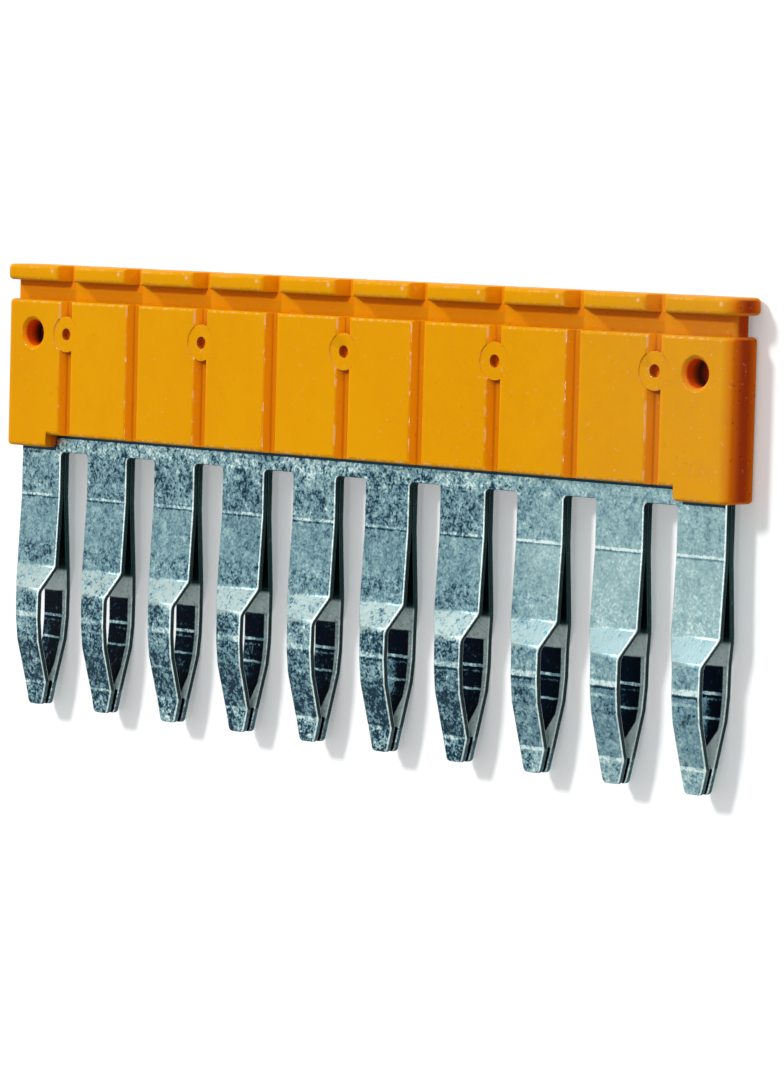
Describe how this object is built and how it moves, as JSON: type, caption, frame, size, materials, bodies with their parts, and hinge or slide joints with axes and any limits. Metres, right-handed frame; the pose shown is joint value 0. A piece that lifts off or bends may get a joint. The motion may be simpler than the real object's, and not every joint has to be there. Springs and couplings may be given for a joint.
{
  "type": "terminal block jumper bar",
  "caption": "Push-in jumper bar with a notched plastic grip cap and two comb-shaped contact strips, for linking neighbouring terminal blocks.",
  "frame": {"origin": "middle of the footprint of the bar lying on its back, on the ground", "axes": "+X along the bar from the first pole to the last, +Y towards the grip cap with the contact tips at -Y, +Z out of the face that shows its bores"},
  "size_m": [0.0602, 0.028, 0.0029],
  "materials": {
    "orange_plastic": "satin moulded surface",
    "tin_plate": "dull tin plate with fine mottling"
  },
  "bodies": {
    "root": {"housing": "orange_plastic", "front_comb": "tin_plate", "rear_comb": "tin_plate"}
  },
  "joints": []
}
